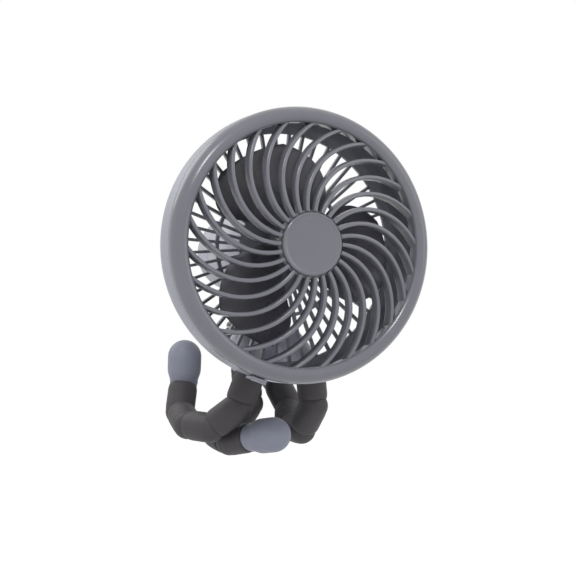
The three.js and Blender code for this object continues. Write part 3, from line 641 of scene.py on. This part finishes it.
bezel = {
    "sides": 192,
    "openingRadius": 66,
    "depth": 9,
    "wall": 1.9,
    "crest": -0.3,            # depth of the lip's highest circle
}
domeRise = 8
domePower = 2.4


def domeFront(radius):
    # the guard's front is a low dome, which drops with a power of the radius's share
    share = np.minimum(radius / bezel["openingRadius"], 1)
    return -domeRise + (domeRise + bezel["wall"]) * share ** domePower


def bezelShape():
    outer, inner, back, wall = headRadius, bezel["openingRadius"], bezel["depth"], bezel["wall"]
    profile = rounded([
        (inner, back, 0.2),
        (inner, 1.3, 1.6),
        (inner + 2.6, bezel["crest"], 2),
        (inner + 5, bezel["crest"] + 0.2, 2),
        (outer - 1.3, 2.3, 3.2),
        (outer, 6, 2.4),
        (outer, back, 0.5),
        (outer - wall, back, 0.3),
        (outer - wall - 0.4, 5, 0.6),
        (inner + wall, 2.6, 0.6),
        (inner + wall, back, 0.3),
    ], closed=True)
    return turnedAbout(profile, bezel["sides"], closed=True)


ribs = {
    "count": 26,
    "inner": 17.6, "outer": 70,
    "sink": 0.4,              # behind the dome's front
    "frontWidth": 2.1, "backWidth": 2.8,
    "depth": 5, "deepening": 3,
    "sweep": 44,              # degrees that a rib turns on its way out
    "sweepPower": 1.52,
    "stations": 30,
}


def spiralRib(facts):
    # radius grows evenly, the angle falls by the sweep times the share to a power
    share = np.linspace(0, 1, facts["stations"])
    radius = facts["inner"] + (facts["outer"] - facts["inner"]) * share
    angle = -np.radians(facts["sweep"]) * share ** facts["sweepPower"]
    front = domeFront(radius) + facts["sink"]
    path = np.stack([radius * np.cos(angle), front, radius * np.sin(angle)], -1)
    along = np.gradient(path, axis=0)
    side = np.stack([along[:, 2], 0 * share, -along[:, 0]], -1)
    side /= np.linalg.norm(side, axis=1)[:, None]
    slim, wide, deep = facts["frontWidth"] / 2, facts["backWidth"] / 2, facts["depth"]
    corners = [(-slim, 0, 0.8), (slim, 0, 0.8), (wide, deep, 0.5), (-wide, deep, 0.5)]
    section = rounded(corners, closed=True)
    across, behind = section[:, 0, None], section[:, 1]
    deeper = 1 + facts["deepening"] / deep * share[:, None] ** 2
    rows = path[:, None] + side[:, None] * across + np.array([0, 1, 0]) * (behind * deeper)[..., None]
    return surface(rows, closeEnds=True)


cap = {
    "radius": 17,
    "height": 3,
    "rim": 0.6,
    "pegRadius": 4,
    "plateRadius": 18.4, "plateDepth": 3.4,
    "sides": 128,
}


def makeFrontGrille():
    front, back = -domeRise + cap["height"], -domeRise + cap["height"] + cap["plateDepth"]
    hole, outer = cap["pegRadius"] + touchGap, cap["plateRadius"]
    corners = [(hole, front, 0.2), (outer, front, 0.5), (outer, back, 0.5), (hole, back, 0.2)]
    plate = turnedAbout(rounded(corners, closed=True), cap["sides"], closed=True)
    guard = turnedCopies(spiralRib(ribs), ribs["count"])
    makePiece("front_grille", [onAxis(shape) for shape in (bezelShape(), plate, guard)])


def makeHubCap():
    radius, rim = cap["radius"], cap["rim"]
    back = -domeRise + cap["height"] - touchGap
    profile = rounded([
        (0, back + cap["height"], 0),
        (cap["pegRadius"], back + cap["height"], 0.3),
        (cap["pegRadius"], back, 0.2),
        (radius - 0.3, back, 0.3),
        (radius, back - 0.6, 0.3),
        (radius, -domeRise - rim + 0.8, 0.9),
        (radius - 0.9, -domeRise - rim, 0.9),
        (radius - 1.8, -domeRise - 0.1, 0.6),
        (radius - 2.6, -domeRise, 0.5),
        (0, -domeRise, 0),
    ])
    makePiece("hub_cap", [onAxis(turnedAbout(profile, cap["sides"]))])


makeFrontGrille()
makeHubCap()
print("front made")

# ---- back of the head ------------------------------------------------------------------

drum = {
    "wall": 2,
    "taperStart": 22,         # depth where the wall starts to draw in
    "taper": 5,
    "corner": 2.4,
    "flange": 4,
    "sides": 192,
}
rearGuard = {
    "count": 48,
    "width": 1.6, "depth": 3.2,
    "dome": 2.5,
    "plateRadius": 25, "plateThickness": 3, "plateHole": 4,
    "ringRadius": 38, "ringWidth": 2,
}
drumDepth = drumHigh[1] - fanAxis[1] - rearGuard["dome"]
backRadius = headRadius - drum["taper"]


def rearFront(radius):
    # the rear guard's front deepens evenly from the drum's edge to the plate
    share = (backRadius - radius) / (backRadius - rearGuard["plateRadius"])
    return drumDepth - rearGuard["depth"] + rearGuard["dome"] * np.minimum(share, 1)


def drumShape():
    outer, wall, taper, corner = headRadius, drum["wall"], drum["taper"], drum["corner"]
    middle = (drum["taperStart"] + drumDepth) / 2
    inset = backRadius - corner - drum["flange"]
    profile = rounded([
        (outer - wall, bezelSeam, 0.4),
        (outer, bezelSeam, 0.5),
        (outer, drum["taperStart"], 5),
        (outer - taper * 0.4, middle, 4),
        (backRadius, drumDepth - corner, 2.4),
        (backRadius - corner, drumDepth, 1.6),
        (inset, drumDepth, 0.6),
        (inset, drumDepth - rearGuard["depth"], 0.6),
        (backRadius - wall, drumDepth - rearGuard["depth"] - 1, 1.5),
        (outer - wall - taper * 0.3, middle - 1, 4),
        (outer - wall, drum["taperStart"] - 1, 4),
    ], closed=True)
    return turnedAbout(profile, drum["sides"], closed=True)


def rearBar():
    # a straight bar out along +X
    width, deep = rearGuard["width"] / 2, rearGuard["depth"]
    corners = [(-width, 0, 0.5), (width, 0, 0.5), (width, deep, 0.5), (-width, deep, 0.5)]
    section = rounded(corners, closed=True)
    radii = np.linspace(rearGuard["plateRadius"] - 1.5, backRadius - drum["flange"], 6)
    rows = np.stack([
        np.stack([np.full(len(section), radius), rearFront(radius) + section[:, 1], section[:, 0]], -1)
        for radius in radii])
    return surface(rows, closeEnds=True)


def ringShape(inner, outer, front, back, edge, sides):
    corners = [(inner, front, edge), (outer, front, edge), (outer, back, edge), (inner, back, edge)]
    return turnedAbout(rounded(corners, closed=True), sides, closed=True)


plateBack = rearFront(rearGuard["plateRadius"]) + rearGuard["depth"]


def makeRearHousing():
    bars = turnedCopies(rearBar(), rearGuard["count"], math.pi / rearGuard["count"])
    ringFront, half = rearFront(rearGuard["ringRadius"]), rearGuard["ringWidth"] / 2
    ring = ringShape(rearGuard["ringRadius"] - half, rearGuard["ringRadius"] + half,
                     ringFront + 0.5, ringFront + rearGuard["depth"] - 0.5, 0.5, 128)
    plate = ringShape(rearGuard["plateHole"], rearGuard["plateRadius"],
                      plateBack - rearGuard["plateThickness"], plateBack, 0.5, 96)
    makePiece("rear_housing", [onAxis(shape) for shape in (drumShape(), bars, ring, plate)])


latch = {
    "size": (9, 9.5, 1.6),
    "lip": (9, 1.6, 1),
    "turn": 19,               # degrees from the bottom of the head
    "front": 6.5,
}


def makeLatch():
    _, long, thick = latch["size"]
    under = -headRadius - touchGap
    tab = softBox(latch["size"], (0, latch["front"] + long / 2, under - thick / 2), 0.5)
    lip = softBox(latch["lip"], (0, latch["front"] + 0.8, under - thick - 0.4), 0.4)
    turn = math.radians(latch["turn"])
    shapes = [onAxis(turnedCopies(shape, 1, -turn)) for shape in (tab, lip)]
    makePiece("grille_latch", shapes)


makeRearHousing()
makeLatch()
print("drum made")

# ---- impeller --------------------------------------------------------------------------

bladeToWall = 17
blades = {
    "count": 3,
    "hubRadius": 12, "hubDepth": 17, "hubShell": 1.8,
    "middle": 20.5, "pitch": 25, "rootPitch": 0.55,
    "tipRadius": headRadius - drum["wall"] - bladeToWall,
    "thickness": 1.8,
    "start": 93, "lean": 24,  # degrees of the middle line at the hub, and its turn by the tip
    "tipSpread": 38, "spread": 88, "widest": 0.42, "rounding": 2.5,
    "crown": 1.6,
    "stations": 48, "chord": 32,
}


def petalShape(facts):
    # each row is a loop round the blade at one radius: forward along the near face, back along
    # the far one; the spread narrows by a power away from the widest radius, and the depth
    # rises with the angle as on a screw
    root = facts["hubRadius"] - 1.5
    share = np.linspace(0, 1, facts["stations"])[:, None]
    radius = root + (facts["tipRadius"] - root) * share
    narrowing = np.abs((share - facts["widest"]) / (1 - facts["widest"])) ** facts["rounding"]
    spread = facts["spread"] + (facts["tipSpread"] - facts["spread"]) * narrowing
    lean = facts["lean"] * np.sin(np.pi / 2 * share)
    pitch = facts["pitch"] * np.minimum(facts["rootPitch"] + share, 1)
    forward = np.linspace(-0.5, 0.5, facts["chord"])
    across = np.concatenate([forward, forward[::-1]])[None]
    face = np.concatenate([-np.ones(facts["chord"]), np.ones(facts["chord"])])[None]
    offset = lean - facts["lean"] + spread * across
    angle = np.radians(facts["start"] + facts["lean"] + offset)
    depth = facts["middle"] + pitch * offset / facts["spread"] - facts["crown"] * (1 - 4 * across ** 2)
    edge = (1 - np.abs(2 * across) ** 10) * (1 - share ** 24) + 0.02
    half = facts["thickness"] / 2 * (1 - 0.3 * share) * np.sqrt(np.minimum(edge, 1))
    rows = np.stack([radius * np.cos(angle), depth + face * half, radius * np.sin(angle)], -1)
    return surface(rows, closeEnds=True)


def makeImpeller():
    front = blades["middle"] - blades["hubDepth"] / 2
    back, radius, shell = front + blades["hubDepth"], blades["hubRadius"], blades["hubShell"]
    hub = turnedAbout(rounded([
        (0, front, 0),
        (radius - 4, front + 0.4, 3),
        (radius - 1, front + 2, 2),
        (radius, front + 4.5, 2),
        (radius, back, 0.4),
        (radius - shell, back, 0.4),
        (radius - shell, front + 5, 1.5),
        (radius - 4, front + shell + 1, 1.5),
        (3.4, front + shell + 0.6, 0.6),
        (3.4, back - 2, 0.3),
        (1.4, back - 2, 0.2),
        (1.4, front + 2.8, 0),
        (0, front + 2.8, 0),
    ]), 96)
    petals = turnedCopies(petalShape(blades), blades["count"])
    makePiece("impeller", [onAxis(hub), onAxis(petals)], sharpAngle=45)


makeImpeller()
print("impeller made")

# ---- pod -------------------------------------------------------------------------------

shellLow, shellHigh = boxOf("pod_shell")
capLow, capHigh = boxOf("pod_cap")
pivot = pivotOf("head_tilt")
pod = {
    "radius": capHigh[0],
    "wall": 2,
    "front": shellLow[1] - fanAxis[1],
    "seam": shellHigh[1] - fanAxis[1],
    "back": capHigh[1] - fanAxis[1],
    "edge": 5,
    "lipLength": 4, "lipWall": 1.4,
    "sides": 128,
    "kneeRadius": 7, "kneeWidth": 8,
    "buttonHole": 6.9,
    "lampHole": 1.8, "lampOffset": 11.5,
    "socketHole": (9.8, 8, 4.2),
}
button = {"radius": 6.5, "stemRadius": 1.5, "flangeDepth": 1.4}
tiltBore = {"radius": 2.55, "reach": 20}


def rodAlong(radius, reach, middle, way, sides):
    # a plain rod that sticks out by its reach to both sides of its middle
    profile = np.array([(0, -reach), (radius, -reach), (radius, reach), (0, reach)])
    return laid(turnedAbout(profile, sides), middle, way)


def boltBore():
    return rodAlong(tiltBore["radius"], tiltBore["reach"], pivot, (1, 0, 0), 48)


def makePodShell():
    radius, knee, width = pod["radius"], pod["kneeRadius"], pod["kneeWidth"]
    tube = ringShape(radius - pod["wall"], radius, pod["front"], pod["seam"], 0.5, pod["sides"])
    top = fanAxis[2] - radius + 1.5
    arc = np.linspace(0, -math.pi, 25)
    outline = [(knee * math.cos(a), knee * math.sin(a), 0) for a in arc]
    outline += [(-knee, top - pivot[2], 0), (knee, top - pivot[2], 0)]
    hanger = moved(extruded(outline, -width / 2, width / 2, 0.6), pivot)
    makePiece("pod_shell", [onAxis(tube), hanger], cutters=[boltBore()])


def makePodCap():
    radius, wall, back, edge = pod["radius"], pod["wall"], pod["back"], pod["edge"]
    start = capLow[1] - fanAxis[1]
    front = start + pod["lipLength"]
    lip = radius - wall - touchGap
    cup = turnedAbout(rounded([
        (lip - pod["lipWall"], start, 0.3),
        (lip, start, 0.3),
        (lip, front, 0.1),
        (radius, front, 0.4),
        (radius, back - edge + 1, 5),
        (radius - 1.2, back - 1.2, 3),
        (radius - edge, back, 3),
        (pod["buttonHole"], back, 0.5),
        (pod["buttonHole"], back - wall, 0.3),
        (radius - edge, back - wall, 1.5),
        (radius - wall - 0.6, back - edge, 1.5),
        (lip - pod["lipWall"], front + 1, 1),
    ], closed=True), pod["sides"], closed=True)
    lamp = rodAlong(pod["lampHole"], 6, aroundAxis(pod["lampOffset"], 90, back), (0, 1, 0), 32)
    socket = softBox(pod["socketHole"], aroundAxis(pod["lampOffset"], -90, back), 1.6)
    makePiece("pod_cap", [onAxis(cup)], cutters=[lamp, socket])


def makeButton():
    low, high = boxOf("power_button")
    front, top = low[1] - fanAxis[1], high[1] - fanAxis[1]
    radius, stem, flange = button["radius"], button["stemRadius"], (high[0] - low[0]) / 2
    skirt = pod["back"] - pod["wall"] - touchGap
    profile = rounded([
        (0, front, 0),
        (stem, front, 0.2),
        (stem, skirt - button["flangeDepth"], 0.4),
        (flange, skirt - button["flangeDepth"], 0.2),
        (flange, skirt, 0.2),
        (radius, skirt, 0.2),
        (radius, top - 0.5, 0.8),
        (radius - 0.9, top, 0.6),
        (radius - 2, top - 0.1, 1.5),
        (0, top - 0.5, 0),
    ])
    makePiece("power_button", [onAxis(turnedAbout(profile, 96))])


def makeLens():
    low, high = boxOf("lamp_lens")
    radius = (high[0] - low[0]) / 2
    profile = rounded([(0, low[1], 0), (radius, low[1], 0.1), (radius, high[1] - 0.2, 0.4), (0, high[1], 0)])
    middle = (low + high) / 2
    makePiece("lamp_lens", [moved(turnedAbout(profile, 48), (middle[0], 0, middle[2]))])


makePodShell()
makePodCap()
makeButton()
makeLens()
print("pod made")

# ---- neck and hub ----------------------------------------------------------------------


def uprightTurned(corners, sides=96):
    # a solid of turning about the upright axis through the hub
    return laid(turnedAbout(rounded(corners), sides), (0, 0, 0), (0, 0, 1))


fork = {"baseHeight": 2.7, "earInner": 5.3, "earOuter": 10.3}
legHub = {"radius": 18, "bottom": 15.6, "socketRadius": 9.1}


def makeNeckFork():
    low, high = boxOf("neck_fork")
    radius, knee, bottom = high[0], pod["kneeRadius"], low[2]
    top = bottom + fork["baseHeight"]
    base = uprightTurned([(0, bottom, 0), (radius, bottom, 0.5), (radius, top, 1.2), (0, top, 0)])
    inner, outer = fork["earInner"], fork["earOuter"]
    arc = np.linspace(0, math.pi, 25)
    outline = [(knee * math.cos(a), pivot[2] + knee * math.sin(a), 0) for a in arc]
    outline += [(-knee, bottom + 1, 0), (knee, bottom + 1, 0)]
    ears = [extruded(outline, inner, outer, 0.8), extruded(outline, -outer, -inner, 0.8)]
    makePiece("neck_fork", [base, *ears], cutters=[boltBore()])


def makeHubLid():
    low, high = boxOf("hub_lid")
    radius, bottom, top = high[0], low[2], high[2]
    makePiece("hub_lid", [uprightTurned([
        (0, bottom, 0), (radius, bottom, 0.4), (radius, top - 1.6, 1.2), (radius - 1.8, top, 1.2),
        (0, top, 0)])])


legNames = ("leg_a", "leg_b", "leg_c")


def sphereShape(middle, radius, sides=48):
    angles = np.linspace(0, math.pi, 25)
    arc = np.stack([radius * np.sin(angles), radius * np.cos(angles)], -1)
    return moved(turnedAbout(arc, sides), middle)


def makeHubBody():
    radius, bottom, top = legHub["radius"], legHub["bottom"], boxOf("hub_lid")[0][2] - touchGap
    puck = uprightTurned([
        (0, bottom, 0), (radius - 2, bottom, 1), (radius, bottom + 2, 1.5), (radius, top - 1, 0.8),
        (radius - 1, top, 0.8), (0, top, 0)])
    hollows = [sphereShape(pivotOf(name + "_bend_1"), legHub["socketRadius"]) for name in legNames]
    obj = addMesh("hubBody", [puck])
    cutAway(obj, hollows)
    finishPiece(obj, "hub_body")


makeNeckFork()
makeHubLid()
makeHubBody()
print("neck and hub made")

# ---- legs ------------------------------------------------------------------------------

domeEnd = math.pi / 2 - 0.12  # angle where the dome goes over into the barrel
domeShare = 0.993             # and the share of its radius that the barrel starts with
bendCount = 7
bead = {
    "radius": 8.5,
    "dome": 8.3,              # the rounded start, about its own pivot
    "hollow": 8.65,           # the hollow at the far end, about the next pivot
    "rimBack": 3.6,           # the far rim lies this far before the next pivot
    "rimTaper": 2.2,          # length over which the barrel draws in towards it
    "sides": 64,
}
tip = {
    "radius": 9.8,
    "length": 24.3,
    "swell": 5.5,             # where the tip reaches its full radius
}


def domeCurve(facts):
    angles = np.linspace(0, domeEnd, 14)
    return np.stack([facts["dome"] * np.sin(angles), -facts["dome"] * np.cos(angles)], -1)


def beadShape(facts, length):
    # dome, barrel, soft rim, then the hollow that the next dome turns in
    rim = length - facts["rimBack"]
    reach = math.sqrt(facts["hollow"] ** 2 - facts["rimBack"] ** 2)
    barrel = rounded([
        (facts["dome"] * domeShare, 0.2, 0), (facts["radius"], 2.6, 2),
        (facts["radius"], rim - facts["rimTaper"], 1.6), (reach + 0.15, rim, 0.3),
        (reach, rim, 0.1), (reach - 0.15, rim - 0.1, 0)])
    start = math.atan2(reach, facts["rimBack"])
    angles = np.linspace(start, 0, 10)[1:]
    hollow = np.stack([facts["hollow"] * np.sin(angles), length - facts["hollow"] * np.cos(angles)], -1)
    return turnedAbout(np.concatenate([domeCurve(facts), barrel, hollow]), facts["sides"])


def tipShape(facts, ends):
    # dome, a swell to the tip's radius, barrel, then a half ball
    radius, middle = ends["radius"], ends["length"] - ends["radius"]
    swell = rounded([
        (facts["dome"] * domeShare, 0.2, 0), (facts["radius"], 1.6, 2),
        (radius, ends["swell"], 3), (radius, middle, 0)])
    angles = np.linspace(0, math.pi / 2, 24)[1:]
    ball = np.stack([radius * np.cos(angles), middle + radius * np.sin(angles)], -1)
    return turnedAbout(np.concatenate([domeCurve(facts), swell, ball]), facts["sides"])


def makeLeg(name):
    pivots = [pivotOf(f"{name}_bend_{order}") for order in range(1, bendCount + 1)]
    for order, (start, end) in enumerate(zip(pivots, pivots[1:]), 1):
        length = np.linalg.norm(end - start)
        makePiece(f"{name}_link_{order}", [laid(beadShape(bead, length), start, end - start)])
    way = vertexMiddle(name + "_tip") - pivots[-1]
    makePiece(name + "_tip", [laid(tipShape(bead, tip), pivots[-1], way)])


for legName in legNames:
    makeLeg(legName)
print("legs made")

# ---- finishes of the pieces that stay as they are ---------------------------------------

for nodeName, node in frame["nodes"].items():
    if not node.hide_render:
        for materialSlot in node.material_slots:
            materialSlot.material = finishOf[nodeName]
print("finishes set")
